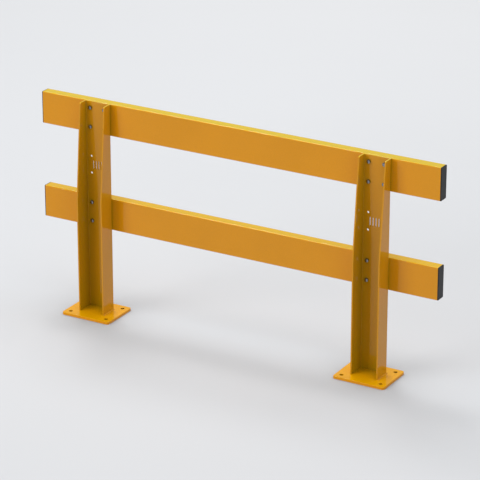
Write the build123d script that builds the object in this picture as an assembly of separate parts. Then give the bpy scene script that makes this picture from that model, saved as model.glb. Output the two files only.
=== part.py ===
from build123d import *
import os

# A two-rail steel safety barrier, one bay long, in millimetres.
# X runs along the rails, Y from the open side of the posts to the rails, Z up.
# The origin is on the floor, under the middle of the barrier.

# Overall
overall_length = 2000.0
overall_height = 1000.0
rail_overhang = 300.0
cut_overrun = 2.0

# Rails: rectangular hollow section
rail_height = 150.0
rail_depth = 50.0
rail_wall = 3.0
rail_corner_inside_radius = 1.5
bottom_rail_top = 550.0

# Posts: one plate folded into a channel, with flanges that taper above the bottom rail
post_plate = 6.0
post_inside_width = 120.0
post_bend_inside_radius = 1.5
post_foot_depth = 90.0
post_head_depth = 50.0
flange_corner_radius = 8.0

# Base plates
base_length = 250.0
base_depth = 200.0
base_thickness = 12.0
base_corner_radius = 12.0
base_edge_bevel = 1.0
anchor_hole = 18.0
anchor_edge_distance = 30.0

# Weld round the outside of each post's foot
weld_leg = 4.0

# Holes in the post's web and in the rail's front wall
bolt_hole = 11.0
bolt_flange_distance = 22.5
bolt_rail_edge_distance = 30.0
spare_row_spacing = 80.0

# Slots in the web, between the spare holes
slot_width = 5.0
slot_height = 40.0
slot_pitch = 14.0
slot_count = 5

# End caps: a flange on the tube's end and a ribbed plug inside it
cap_flange = 4.0
cap_edge_bevel = 1.0
cap_plug_length = 26.0
cap_plug_wall = 2.5
cap_rib_height = 1.5
cap_rib_thickness = 2.0
cap_rib_count = 3
cap_clearance = 0.3

# Places worked out from the sizes above
post_spacing = overall_length - 2 * rail_overhang
post_width = post_inside_width + 2 * post_plate
post_bend_outside_radius = post_bend_inside_radius + post_plate
post_back = post_foot_depth / 2
post_front = -post_foot_depth / 2
post_head_front = post_back - post_head_depth
web_middle = post_back - post_plate / 2
rail_length = overall_length - 2 * cap_flange
rail_middle = post_back + rail_depth / 2
rail_inner_height = rail_height - 2 * rail_wall
rail_inner_depth = rail_depth - 2 * rail_wall
rail_corner_radius = rail_corner_inside_radius + rail_wall
bolt_column_spacing = post_inside_width - 2 * bolt_flange_distance
bolt_row_spacing = rail_height - 2 * bolt_rail_edge_distance
top_rail_centre = overall_height - rail_height / 2
bottom_rail_centre = bottom_rail_top - rail_height / 2
spare_centre = (bottom_rail_top + overall_height - rail_height) / 2

sides = {"left": -post_spacing / 2, "right": post_spacing / 2}
rails = {"top": top_rail_centre, "bottom": bottom_rail_centre}


def channel_section():
    # U section seen from above, its web at the back
    outline = Rectangle(post_width, post_foot_depth)
    outline = fillet(outline.vertices().group_by(Axis.Y)[-1], post_bend_outside_radius)
    hollow = Pos(0, -post_plate) * Rectangle(post_inside_width, post_foot_depth)
    hollow = fillet(hollow.vertices().group_by(Axis.Y)[-1], post_bend_inside_radius)
    return outline - hollow


def flange_outline():
    # Side view of the post: straight to the bottom rail's top, then tapering to a rounded front corner
    edge = Polyline(
        (post_back, base_thickness),
        (post_front, base_thickness),
        (post_front, bottom_rail_top),
        (post_head_front, overall_height),
        (post_back, overall_height),
        close=True,
    )
    side = make_face(edge)
    head_corner = side.vertices().group_by(Axis.Y)[-1].sort_by(Axis.X)[0]
    return Plane.YZ * fillet(head_corner, flange_corner_radius)


def hole_grid(centre_x, centre_z, rows, diameter, middle_y, wall):
    # Cutters along Y: two columns, and rows about a height
    drill = Rot(90, 0, 0) * Cylinder(diameter / 2, wall + 2 * cut_overrun)
    centre = Pos(centre_x, middle_y, centre_z)
    places = [place.position for place in GridLocations(bolt_column_spacing, rows, 2, 2)]
    return [centre * Pos(place.X, 0, place.Y) * drill for place in places]


def web_slots():
    # A row of upright slots with round ends, cut along Y
    slot = Plane.XZ * SlotOverall(slot_height, slot_width, rotation=90)
    cutter = extrude(slot, amount=post_plate / 2 + cut_overrun, both=True)
    places = GridLocations(slot_pitch, slot_pitch, slot_count, 1)
    return [Pos(place.position.X, web_middle, spare_centre) * cutter for place in places]


def post():
    blank = extrude(channel_section(), amount=overall_height)
    folded = blank & extrude(flange_outline(), amount=post_width, both=True)
    for centre_z in rails.values():
        folded -= hole_grid(0, centre_z, bolt_row_spacing, bolt_hole, web_middle, post_plate)
    folded -= hole_grid(0, spare_centre, spare_row_spacing, bolt_hole, web_middle, post_plate)
    return folded - web_slots()


def base_plate():
    plan = RectangleRounded(base_length, base_depth, base_corner_radius)
    plate = extrude(plan, amount=base_thickness)
    plate = chamfer(plate.edges().group_by(Axis.Z)[-1], base_edge_bevel)
    anchor_x = base_length - 2 * anchor_edge_distance
    anchor_y = base_depth - 2 * anchor_edge_distance
    drill = Pos(0, 0, base_thickness / 2) * Cylinder(anchor_hole / 2, base_thickness + 2 * cut_overrun)
    holes = [place * drill for place in GridLocations(anchor_x, anchor_y, 2, 2)]
    return plate - holes


def foot_weld():
    # Fillet along both flanges and the web, following the bends
    half_width = post_width / 2
    path = FilletPolyline(
        (-half_width, post_front, base_thickness),
        (-half_width, post_back, base_thickness),
        (half_width, post_back, base_thickness),
        (half_width, post_front, base_thickness),
        radius=post_bend_outside_radius,
    )
    start = Plane(origin=path @ 0, x_dir=(-1, 0, 0), z_dir=(0, 1, 0))
    bead = Polyline((0, 0), (weld_leg, 0), (0, weld_leg), close=True)
    return sweep(start * make_face(bead), path=path)


def rail():
    # Tube centred on its own axis, with holes through its front wall
    section = RectangleRounded(rail_depth, rail_height, rail_corner_radius)
    section -= RectangleRounded(rail_inner_depth, rail_inner_height, rail_corner_inside_radius)
    tube = extrude(Plane.YZ * section, amount=rail_length / 2, both=True)
    front_wall = (rail_wall - rail_depth) / 2
    for post_x in sides.values():
        tube -= hole_grid(post_x, 0, bolt_row_spacing, bolt_hole, front_wall, rail_wall)
    return tube


def plug_ring(reach, wall, start, length):
    # Hollow ring inside the tube, its outside that far in from the tube's wall
    outer_depth = rail_inner_depth - 2 * reach
    outer_height = rail_inner_height - 2 * reach
    outside = Rectangle(outer_depth, outer_height)
    outside = chamfer(outside.vertices(), rail_corner_inside_radius)
    ring = outside - Rectangle(outer_depth - 2 * wall, outer_height - 2 * wall)
    return Pos(-start - length, 0, 0) * extrude(Plane.YZ * ring, amount=length)


def end_cap():
    # The flange's inner face is at X = 0 and the plug runs towards -X
    face = RectangleRounded(rail_depth, rail_height, rail_corner_radius)
    flange = extrude(Plane.YZ * face, amount=cap_flange)
    flange = chamfer(flange.edges().group_by(Axis.X)[-1], cap_edge_bevel)
    skirt_reach = cap_clearance + cap_rib_height
    cap = flange + plug_ring(skirt_reach, cap_plug_wall, 0, cap_plug_length)
    rib_pitch = cap_plug_length / (cap_rib_count + 1)
    for index in range(cap_rib_count):
        rib_start = (index + 1) * rib_pitch - cap_rib_thickness / 2
        cap += plug_ring(cap_clearance, cap_rib_height + cap_plug_wall, rib_start, cap_rib_thickness)
    return cap


nodes = {}
for side, post_x in sides.items():
    nodes[f"{side}_base_plate"] = Pos(post_x, 0, 0) * base_plate()
    nodes[f"{side}_post"] = Pos(post_x, 0, 0) * post()
    nodes[f"{side}_post_weld"] = Pos(post_x, 0, 0) * foot_weld()

for level, centre_z in rails.items():
    nodes[f"{level}_rail"] = Pos(0, rail_middle, centre_z) * rail()
    right_end = Pos(rail_length / 2, rail_middle, centre_z)
    left_end = Pos(-rail_length / 2, rail_middle, centre_z) * Rot(0, 0, 180)
    nodes[f"{level}_right_end_cap"] = right_end * end_cap()
    nodes[f"{level}_left_end_cap"] = left_end * end_cap()

os.makedirs("parts", exist_ok=True)
for name, piece in nodes.items():
    export_step(piece, f"parts/{name}.step")
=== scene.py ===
import bpy
import bmesh
import math
from mathutils import Matrix, Vector


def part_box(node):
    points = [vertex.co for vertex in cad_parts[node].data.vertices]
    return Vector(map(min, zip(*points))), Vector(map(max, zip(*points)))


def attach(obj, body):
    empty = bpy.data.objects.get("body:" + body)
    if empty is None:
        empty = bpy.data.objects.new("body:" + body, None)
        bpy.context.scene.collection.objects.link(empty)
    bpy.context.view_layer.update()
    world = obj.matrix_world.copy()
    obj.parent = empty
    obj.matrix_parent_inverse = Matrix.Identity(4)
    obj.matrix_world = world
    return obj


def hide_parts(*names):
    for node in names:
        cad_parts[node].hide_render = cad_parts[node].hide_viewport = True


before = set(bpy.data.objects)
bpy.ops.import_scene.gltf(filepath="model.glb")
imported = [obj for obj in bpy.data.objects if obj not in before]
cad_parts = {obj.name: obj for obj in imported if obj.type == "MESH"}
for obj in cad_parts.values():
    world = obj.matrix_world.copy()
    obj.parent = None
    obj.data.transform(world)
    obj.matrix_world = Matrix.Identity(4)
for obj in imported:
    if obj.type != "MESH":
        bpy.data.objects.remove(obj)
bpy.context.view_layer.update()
print("frame loaded:", len(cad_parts), "nodes")

millimetre = 0.001
quarterTurn = math.radians(90.0)
fullTurn = math.radians(360.0)

# most of a noise texture lies between these
noiseSpan = (0.3, 0.7)
patchSpan = (0.35, 0.65)


# node helpers
def opaque(tone):
    return (*tone, 1.0)


def newMaterial(name):
    material = bpy.data.materials.new(name)
    material.use_nodes = True
    tree = material.node_tree
    return material, tree, tree.nodes["Principled BSDF"]


def addNode(tree, kind, inputs=None, **settings):
    node = tree.nodes.new(kind)
    for key, value in settings.items():
        setattr(node, key, value)
    for key, value in (inputs or {}).items():
        socket = node.inputs[key]
        if isinstance(value, bpy.types.NodeSocket):
            tree.links.new(value, socket)
        else:
            socket.default_value = value
    return node


def addMath(tree, operation, first, second):
    return addNode(tree, "ShaderNodeMath", {0: first, 1: second}, operation=operation).outputs[0]


def addDot(tree, first, second):
    node = addNode(tree, "ShaderNodeVectorMath", {0: first, 1: second}, operation="DOT_PRODUCT")
    return node.outputs["Value"]


def addNoise(tree, coords, scale, detail=3.0, roughness=0.55):
    inputs = {"Vector": coords, "Scale": scale, "Detail": detail, "Roughness": roughness}
    return addNode(tree, "ShaderNodeTexNoise", inputs).outputs["Fac"]


def addRange(tree, value, span, low=0.0, high=1.0):
    inputs = {"Value": value, "From Min": span[0], "From Max": span[1], "To Min": low, "To Max": high}
    return addNode(tree, "ShaderNodeMapRange", inputs, interpolation_type="SMOOTHSTEP").outputs["Result"]


def addMix(tree, factor, first, second, blend="MIX"):
    node = addNode(tree, "ShaderNodeMix", data_type="RGBA", blend_type=blend)
    for index, value in ((0, factor), (6, first), (7, second)):
        if isinstance(value, bpy.types.NodeSocket):
            tree.links.new(value, node.inputs[index])
        else:
            node.inputs[index].default_value = value if isinstance(value, float) else opaque(value)
    return node.outputs[2]


def addOpenness(tree, reach, samples=8, **settings):
    # 1 on open faces, towards 0 where something stands within reach
    inputs = {"Distance": reach}
    return addNode(tree, "ShaderNodeAmbientOcclusion", inputs, samples=samples, **settings).outputs["AO"]


def addRounded(tree, radius, samples=6):
    return addNode(tree, "ShaderNodeBevel", {"Radius": radius}, samples=samples).outputs["Normal"]


def addBump(tree, height, normal, strength, depth):
    inputs = {"Height": height, "Normal": normal, "Strength": strength, "Distance": depth}
    return addNode(tree, "ShaderNodeBump", inputs).outputs["Normal"]


# powder coat: orange peel, faint drift in the tone, painted light on upper faces, painted highlight on
# edges, painted shade in deep recesses and tight inside corners
powderCoat = {
    "driftScale": 2.2,
    "driftShare": 0.955,
    "upperSpan": (0.45, 0.95),
    "recessReach": 0.2,
    "recessShadeTone": (0.45, 0.275, 0.003),
    "cornerReach": 0.012,
    "cornerSpan": (0.92, 0.5),
    "cornerShadeTone": (0.48, 0.255, 0.003),
    "cornerRoughness": 0.9,
    "edgeRadius": 0.0012,
    "edgeSpan": (0.995, 0.85),
    "edgeShare": 0.7,
    "edgeHighlightTone": (0.90, 0.43, 0.02),
    "outerSpan": (0.45, 0.75),
    "speckScale": 900.0,
    "speckShares": (0.94, 1.06),
    "peelScale": 420.0,
    "peelStrength": 0.5,
    "peelDepth": 0.00002,
    "glossScale": 14.0,
    "roughness": (0.035, 0.075),
}


def makePowderCoat(kind, coat):
    look = powderCoat
    material, tree, shader = newMaterial(f"powderCoat_{kind}")
    coords = addNode(tree, "ShaderNodeTexCoord")
    place = coords.outputs["Object"]
    drift = addRange(tree, addNoise(tree, place, look["driftScale"]), patchSpan)
    drifted = [part * look["driftShare"] for part in coat["tone"]]
    colour = addMix(tree, drift, coat["tone"], drifted)
    upward = addNode(tree, "ShaderNodeSeparateXYZ", {"Vector": coords.outputs["Normal"]}).outputs["Z"]
    # painted light: upper faces get a paler, yellower tone, standing in for strong light from above
    colour = addMix(tree, addRange(tree, upward, look["upperSpan"]), colour, coat["upperLitTone"])
    # painted shade: a darker tone in deep recesses, where something stands within reach
    openness = addOpenness(tree, look["recessReach"])
    colour = addMix(tree, addRange(tree, openness, coat["recessShadeSpan"]), colour, look["recessShadeTone"])
    # painted shade in tight inside corners: a darker tone, with a rougher finish
    corner = addRange(tree, addOpenness(tree, look["cornerReach"], only_local=True), look["cornerSpan"])
    colour = addMix(tree, corner, colour, look["cornerShadeTone"])
    # painted highlight on outer edges: a paler tone where the rounded normal leaves the flat one, with
    # nothing close by
    rounded = addRounded(tree, look["edgeRadius"])
    turn = addDot(tree, rounded, addNode(tree, "ShaderNodeNewGeometry").outputs["True Normal"])
    edge = addRange(tree, turn, look["edgeSpan"], 0.0, look["edgeShare"])
    edge = addMath(tree, "MULTIPLY", edge, addRange(tree, openness, look["outerSpan"]))
    colour = addMix(tree, edge, colour, look["edgeHighlightTone"])
    specks = addNoise(tree, place, look["speckScale"], detail=1.0)
    speck = addRange(tree, specks, noiseSpan, *look["speckShares"])
    speckTone = addNode(tree, "ShaderNodeCombineColor", {0: speck, 1: speck, 2: speck}).outputs[0]
    colour = addMix(tree, 1.0, colour, speckTone, "MULTIPLY")
    peel = addNoise(tree, place, look["peelScale"], detail=2.0, roughness=0.4)
    normal = addBump(tree, peel, rounded, look["peelStrength"], look["peelDepth"])
    gloss = addRange(tree, addNoise(tree, place, look["glossScale"]), noiseSpan, *look["roughness"])
    dulled = addRange(tree, corner, (0.0, 1.0), 0.0, look["cornerRoughness"])
    tree.links.new(colour, shader.inputs["Base Color"])
    tree.links.new(addMath(tree, "MAXIMUM", gloss, dulled), shader.inputs["Roughness"])
    tree.links.new(normal, shader.inputs["Normal"])
    shader.inputs["IOR"].default_value = coat["ior"]
    return material


# end caps: dark moulded plastic with a fine grain
capPlastic = {
    "tone": (0.019, 0.019, 0.020),
    "paleTone": (0.026, 0.026, 0.027),
    "cloudScale": 45.0,
    "grainScale": 1400.0,
    "grainStrength": 0.6,
    "grainDepth": 0.00006,
    "edgeRadius": 0.0008,
    "roughness": (0.40, 0.55),
    "specular": 0.22,
}


def makeCapPlastic():
    look = capPlastic
    material, tree, shader = newMaterial("capPlastic")
    place = addNode(tree, "ShaderNodeTexCoord").outputs["Object"]
    cloud = addRange(tree, addNoise(tree, place, look["cloudScale"]), patchSpan)
    colour = addMix(tree, cloud, look["tone"], look["paleTone"])
    grain = addNoise(tree, place, look["grainScale"], detail=2.0)
    rounded = addRounded(tree, look["edgeRadius"])
    normal = addBump(tree, grain, rounded, look["grainStrength"], look["grainDepth"])
    tree.links.new(colour, shader.inputs["Base Color"])
    tree.links.new(addRange(tree, grain, noiseSpan, *look["roughness"]), shader.inputs["Roughness"])
    tree.links.new(normal, shader.inputs["Normal"])
    shader.inputs["Specular IOR Level"].default_value = look["specular"]
    return material


# bolts: zinc plating in dull patches, with painted shade at the foot of the head, where it meets the
# paint
zincSteel = {
    "tone": (0.32, 0.33, 0.35),
    "dullTone": (0.22, 0.23, 0.25),
    "patchScale": 260.0,
    "rootShadeTone": (0.17, 0.165, 0.16),
    "rootReach": 0.006,
    "rootSpan": (0.95, 0.5),
    "roughness": (0.12, 0.24),
}


def makeZincSteel():
    look = zincSteel
    material, tree, shader = newMaterial("zincSteel")
    place = addNode(tree, "ShaderNodeTexCoord").outputs["Object"]
    patch = addRange(tree, addNoise(tree, place, look["patchScale"]), patchSpan)
    colour = addMix(tree, patch, look["tone"], look["dullTone"])
    # painted shade: a darker tone at the foot of the head
    root = addRange(tree, addOpenness(tree, look["rootReach"]), look["rootSpan"])
    colour = addMix(tree, root, colour, look["rootShadeTone"])
    tree.links.new(colour, shader.inputs["Base Color"])
    tree.links.new(addRange(tree, patch, (0.0, 1.0), *look["roughness"]), shader.inputs["Roughness"])
    shader.inputs["Metallic"].default_value = 1.0
    return material


# the same coat on each kind of piece, in lit and shaded copies: its tone, its painted light tone on upper
# faces, and how deep a recess takes painted shade
coats = {
    "top_rail": {
        "tone": (0.74, 0.298, 0.005),
        "upperLitTone": (0.59, 0.40, 0.002),
        "recessShadeSpan": (0.75, 0.2),
        "ior": 1.385,
    },
    "bottom_rail": {
        "tone": (0.725, 0.293, 0.005),
        "upperLitTone": (0.66, 0.39, 0.002),
        "recessShadeSpan": (0.75, 0.2),
        "ior": 1.385,
    },
    "post": {
        "tone": (0.652, 0.280, 0.005),
        "upperLitTone": (0.60, 0.40, 0.002),
        "recessShadeSpan": (0.74, 0.22),
        "ior": 1.385,
    },
    "plate": {
        "tone": (0.80, 0.31, 0.001),
        "upperLitTone": (0.81, 0.385, 0.001),
        "recessShadeSpan": (0.5, 0.15),
        "ior": 1.34,
    },
    "weld": {
        "tone": (0.64, 0.270, 0.004),
        "upperLitTone": (0.80, 0.35, 0.001),
        "recessShadeSpan": (0.5, 0.1),
        "ior": 1.3,
    },
}
finishes = {kind: makePowderCoat(kind, coat) for kind, coat in coats.items()}
finishes["cap"] = makeCapPlastic()
zinc = makeZincSteel()

for name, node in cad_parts.items():
    node.data.materials.clear()
    finish = next(finishes[ending] for ending in finishes if name.endswith(ending))
    node.data.materials.append(finish)
print("finishes given to the frame's nodes")


def finishPiece(name, bm, material, sharpAngle):
    bmesh.ops.recalc_face_normals(bm, faces=bm.faces)
    for face in bm.faces:
        face.smooth = True
    mesh = bpy.data.meshes.new(name)
    bm.to_mesh(mesh)
    bm.free()
    mesh.set_sharp_from_angle(angle=math.radians(sharpAngle))
    mesh.materials.append(material)
    piece = bpy.data.objects.new(name, mesh)
    bpy.context.scene.collection.objects.link(piece)
    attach(piece, "root")
    return piece


# rail bolts: hexagon heads seated on the web inside the channel
railBolt = {
    "acrossFlats": 16.0 * millimetre,
    "flats": 6,
    "headHeight": 8.0 * millimetre,
    "topRadius": 7.0 * millimetre,
    "chamferDrop": 1.4 * millimetre,
    "blankOverrun": 0.4 * millimetre,
    "shankRadius": 5.0 * millimetre,
    "shankLength": 24.0 * millimetre,
    "turnSteps": 36,
    "mergeDistance": 0.001 * millimetre,
    "sharpAngle": 35.0,
    "turnPerBolt": 23.0,
    "flangeDistance": 22.5 * millimetre,
    "railEdgeDistance": 30.0 * millimetre,
    "postPlate": 6.0 * millimetre,
}


def makeBolt(seat):
    # a turned bolt with a chamfered head, then six flats cut on the head
    b = railBolt
    flat = b["acrossFlats"] / 2
    flatAngle = fullTurn / b["flats"]
    blank = flat / math.cos(flatAngle / 2) + b["blankOverrun"]
    top = b["headHeight"]
    section = [
        (0.0, -b["shankLength"]),
        (b["shankRadius"], -b["shankLength"]),
        (b["shankRadius"], 0.0),
        (blank, 0.0),
        (blank, top - b["chamferDrop"]),
        (b["topRadius"], top),
        (0.0, top),
    ]
    bm = bmesh.new()
    verts = [bm.verts.new((radius, 0.0, height)) for radius, height in section]
    edges = [bm.edges.new(pair) for pair in zip(verts, verts[1:])]
    bmesh.ops.spin(bm, geom=verts + edges, cent=(0, 0, 0), axis=(0, 0, 1), angle=fullTurn,
                   steps=b["turnSteps"], use_merge=True)
    bmesh.ops.remove_doubles(bm, verts=bm.verts, dist=b["mergeDistance"])
    for index in range(b["flats"]):
        outward = Matrix.Rotation(flatAngle * index, 3, "Z") @ Vector((1, 0, 0))
        whole = bm.verts[:] + bm.edges[:] + bm.faces[:]
        cut = bmesh.ops.bisect_plane(bm, geom=whole, plane_co=outward * flat, plane_no=outward,
                                     clear_outer=True)
        rim = [item for item in cut["geom_cut"] if isinstance(item, bmesh.types.BMEdge)]
        bmesh.ops.edgeloop_fill(bm, edges=rim)
    bmesh.ops.transform(bm, matrix=seat, verts=bm.verts)
    mesh = bpy.data.meshes.new("bolt")
    bm.to_mesh(mesh)
    bm.free()
    return mesh


def makeRailBolts(side, level):
    b = railBolt
    postLow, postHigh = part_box(f"{side}_post")
    railLow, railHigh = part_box(f"{level}_rail")
    reachX = b["postPlate"] + b["flangeDistance"]
    webFront = postHigh.y - b["postPlate"]
    bm = bmesh.new()
    turn = 0.0
    for x in (postLow.x + reachX, postHigh.x - reachX):
        for z in (railLow.z + b["railEdgeDistance"], railHigh.z - b["railEdgeDistance"]):
            seat = Matrix.Translation((x, webFront, z)) @ Matrix.Rotation(quarterTurn, 4, "X")
            bolt = makeBolt(seat @ Matrix.Rotation(math.radians(turn), 4, "Z"))
            bm.from_mesh(bolt)
            bpy.data.meshes.remove(bolt)
            turn += b["turnPerBolt"]
    finishPiece(f"{side}_{level}_rail_bolts", bm, zinc, b["sharpAngle"])


for side in ("left", "right"):
    for level in ("top", "bottom"):
        makeRailBolts(side, level)
print("rail bolts made")


# foot weld: a rippled bead round the outside of the folded post, from flange end to flange end
footWeld = {
    "bendRadius": 7.5 * millimetre,
    "stepLength": 0.65 * millimetre,
    "ripplePitch": 2.6 * millimetre,
    "rippleShare": 0.08,
    "bulgeShare": 0.35,
    "endShare": 0.35,
    "sectionSteps": 5,
    "sharpAngle": 60.0,
}


def beadSwell(along, length, leg):
    w = footWeld
    ripple = 1.0 - w["rippleShare"] * (1.0 - abs(math.sin(math.pi * along / w["ripplePitch"])))
    fromEnd = min(along, length - along)
    return ripple * min(1.0, w["endShare"] + fromEnd / leg)


def beadMoves(low, high):
    # small moves that carry the section along the left flange, round the web and back along the right one
    w = footWeld
    bend = w["bendRadius"]
    flange = high.y - low.y - bend
    web = high.x - low.x - 2.0 * bend
    arc = bend * quarterTurn
    runs = [
        (Vector((0, 1, 0)), flange, low.x + bend),
        (Vector((1, 0, 0)), web, high.x - bend),
        (Vector((0, -1, 0)), flange, None),
    ]
    moves = []
    for heading, run, bendX in runs:
        count = round(run / w["stepLength"])
        moves += [(Matrix.Translation(heading * (run / count)), run / count)] * count
        if bendX is not None:
            centre = Vector((bendX, high.y - bend, 0.0))
            count = round(arc / w["stepLength"])
            turn = Matrix.Rotation(-quarterTurn / count, 4, "Z")
            turn = Matrix.Translation(centre) @ turn @ Matrix.Translation(-centre)
            moves += [(turn, arc / count)] * count
    return moves


def addBeadSection(bm, root, leg):
    # a fillet's section with a slightly bulged face
    w = footWeld
    section = [bm.verts.new(root)]
    for step in range(w["sectionSteps"] + 1):
        share = step / w["sectionSteps"]
        angle = quarterTurn * share
        out = share * (1.0 - w["bulgeShare"]) + math.sin(angle) * w["bulgeShare"]
        up = (1.0 - share) * (1.0 - w["bulgeShare"]) + math.cos(angle) * w["bulgeShare"]
        section.append(bm.verts.new(root + Vector((-out, 0.0, up)) * leg))
    return bm.faces.new(section).edges[:]


def makeFootWeld(side):
    postLow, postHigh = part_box(f"{side}_post")
    weldLow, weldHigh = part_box(f"{side}_post_weld")
    leg = weldHigh.z - weldLow.z
    moves = beadMoves(postLow, postHigh)
    length = sum(stride for move, stride in moves)
    root = Vector((postLow.x, postLow.y, weldLow.z))
    swell = beadSwell(0.0, length, leg)
    along = 0.0
    bm = bmesh.new()
    rim = addBeadSection(bm, root, leg * swell)
    for move, stride in moves:
        grown = bmesh.ops.extrude_edge_only(bm, edges=rim)["geom"]
        rim = [item for item in grown if isinstance(item, bmesh.types.BMEdge)]
        verts = [item for item in grown if isinstance(item, bmesh.types.BMVert)]
        bmesh.ops.transform(bm, matrix=move, verts=verts)
        root = move @ root
        along += stride
        change = beadSwell(along, length, leg) / swell
        bmesh.ops.scale(bm, vec=(change, change, change), space=Matrix.Translation(-root), verts=verts)
        swell *= change
    bmesh.ops.contextual_create(bm, geom=rim)
    name = f"{side}_foot_weld_bead"
    bead = finishPiece(name, bm, finishes["weld"], footWeld["sharpAngle"])
    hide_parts(f"{side}_post_weld")


for side in ("left", "right"):
    makeFootWeld(side)
print("foot welds made")


# floor: pale where it is seen, dimmer as a light from below, with painted shade close to the barrier
floorLook = {
    "size": 60.0,
    "driftScale": 0.4,
    "tone": (0.490, 0.497, 0.512),
    "paleTone": (0.500, 0.507, 0.522),
    "bounceTone": (0.36, 0.36, 0.36),
    "contactShadeTone": (0.12, 0.165, 0.20),
    "contactReach": 0.3,
    "contactSamples": 16,
    "glowTone": (1.0, 0.98, 0.955),
    "backward": (-0.05, 0.999, 0.0),
    "nearGlow": 0.102,
    "farGlow": 0.32,
    "farSpan": (1.24, 8.0),
    "roughness": 0.7,
}


def addSeenRays(tree):
    # 1 for rays that show the backdrop: straight, mirrored or through glass
    rays = addNode(tree, "ShaderNodeLightPath").outputs
    seen = addMath(tree, "MAXIMUM", rays["Is Camera Ray"], rays["Is Glossy Ray"])
    return addMath(tree, "MAXIMUM", seen, rays["Is Transmission Ray"])


def makeFloorPaint():
    look = floorLook
    material, tree, shader = newMaterial("studioFloor")
    place = addNode(tree, "ShaderNodeTexCoord").outputs["Object"]
    drift = addRange(tree, addNoise(tree, place, look["driftScale"]), noiseSpan)
    pale = addMix(tree, drift, look["tone"], look["paleTone"])
    # painted shade: close to the barrier the floor is darker, as it sees less of the room
    openness = addOpenness(tree, look["contactReach"], look["contactSamples"])
    pale = addMix(tree, openness, look["contactShadeTone"], pale)
    # seen rays get a paler floor than the one that lights the barrier from below
    seen = addSeenRays(tree)
    colour = addMix(tree, seen, look["bounceTone"], pale)
    # and a glow that grows towards the back, as on a curved backdrop
    away = addDot(tree, place, look["backward"])
    glow = addRange(tree, away, look["farSpan"], look["nearGlow"], look["farGlow"])
    # the glow also takes the painted shade close to the barrier
    glow = addMath(tree, "MULTIPLY", addMath(tree, "MULTIPLY", glow, seen), openness)
    tree.links.new(colour, shader.inputs["Base Color"])
    tree.links.new(glow, shader.inputs["Emission Strength"])
    shader.inputs["Emission Color"].default_value = opaque(look["glowTone"])
    shader.inputs["Roughness"].default_value = look["roughness"]
    return material


def makeFloor():
    bm = bmesh.new()
    bmesh.ops.create_grid(bm, x_segments=4, y_segments=4, size=floorLook["size"] / 2)
    mesh = bpy.data.meshes.new("studioFloor")
    bm.to_mesh(mesh)
    bm.free()
    mesh.materials.append(makeFloorPaint())
    floor = bpy.data.objects.new("studioFloor", mesh)
    bpy.context.scene.collection.objects.link(floor)


makeFloor()

# the side lights aren't mirrored, so that upper faces keep their colour from every side
softboxes = {
    "backOverhead": {
        "place": (-3.9, 3.6, 7.0),
        "aim": (0, 0, 0.3),
        "size": (2.8, 2.5),
        "power": 262.0,
        "mirrored": True,
    },
    "overhead": {
        "place": (1.0, 0.5, 8.0),
        "aim": (0, 0, 0.5),
        "size": (9.0, 9.0),
        "power": 445.0,
        "mirrored": True,
    },
    "leftKey": {
        "place": (-8.0, -11.0, 6.0),
        "aim": (0, 0, 0.5),
        "size": (8.0, 6.5),
        "power": 905.0,
        "mirrored": False,
    },
    "rightFill": {
        "place": (10.0, -7.0, 2.0),
        "aim": (0, 0, 0.5),
        "size": (6.0, 4.0),
        "power": 228.0,
        "mirrored": False,
    },
}


def addSoftbox(name, look):
    light = bpy.data.lights.new(name, "AREA")
    light.shape = "RECTANGLE"
    light.size, light.size_y = look["size"]
    light.energy = look["power"]
    lamp = bpy.data.objects.new(name, light)
    lamp.location = look["place"]
    aim = Vector(look["aim"]) - lamp.location
    lamp.rotation_euler = aim.to_track_quat("-Z", "Y").to_euler()
    lamp.visible_glossy = look["mirrored"]
    bpy.context.scene.collection.objects.link(lamp)


for name, look in softboxes.items():
    addSoftbox(name, look)

# the room: dim as a light, pale where it is seen or mirrored
roomLight = {"tone": (0.93, 0.965, 1.0), "ambient": 0.43, "seen": 0.52}


def makeRoom():
    world = bpy.data.worlds.new("studioRoom")
    world.use_nodes = True
    tree = world.node_tree
    background = tree.nodes["Background"]
    background.inputs["Color"].default_value = opaque(roomLight["tone"])
    strength = addRange(tree, addSeenRays(tree), (0.0, 1.0), roomLight["ambient"], roomLight["seen"])
    tree.links.new(strength, background.inputs["Strength"])
    bpy.context.scene.world = world


makeRoom()

# long lens from the front right, looking down
view = {
    "place": (5.5656, -9.5004, 4.8677),
    "azimuth": 30.108,
    "elevation": 21.664,
    "lens": 202.67,
    "sensor": 36.0,
    "clipEnd": 200.0,
}


def addCamera():
    cameraData = bpy.data.cameras.new("camera")
    cameraData.lens = view["lens"]
    cameraData.sensor_width = view["sensor"]
    cameraData.clip_end = view["clipEnd"]
    camera = bpy.data.objects.new("camera", cameraData)
    camera.location = view["place"]
    tilt = quarterTurn - math.radians(view["elevation"])
    camera.rotation_euler = (tilt, 0.0, math.radians(view["azimuth"]))
    bpy.context.scene.collection.objects.link(camera)
    bpy.context.scene.camera = camera


addCamera()
bpy.context.scene.view_settings.view_transform = "Standard"
print("floor, light and camera set")
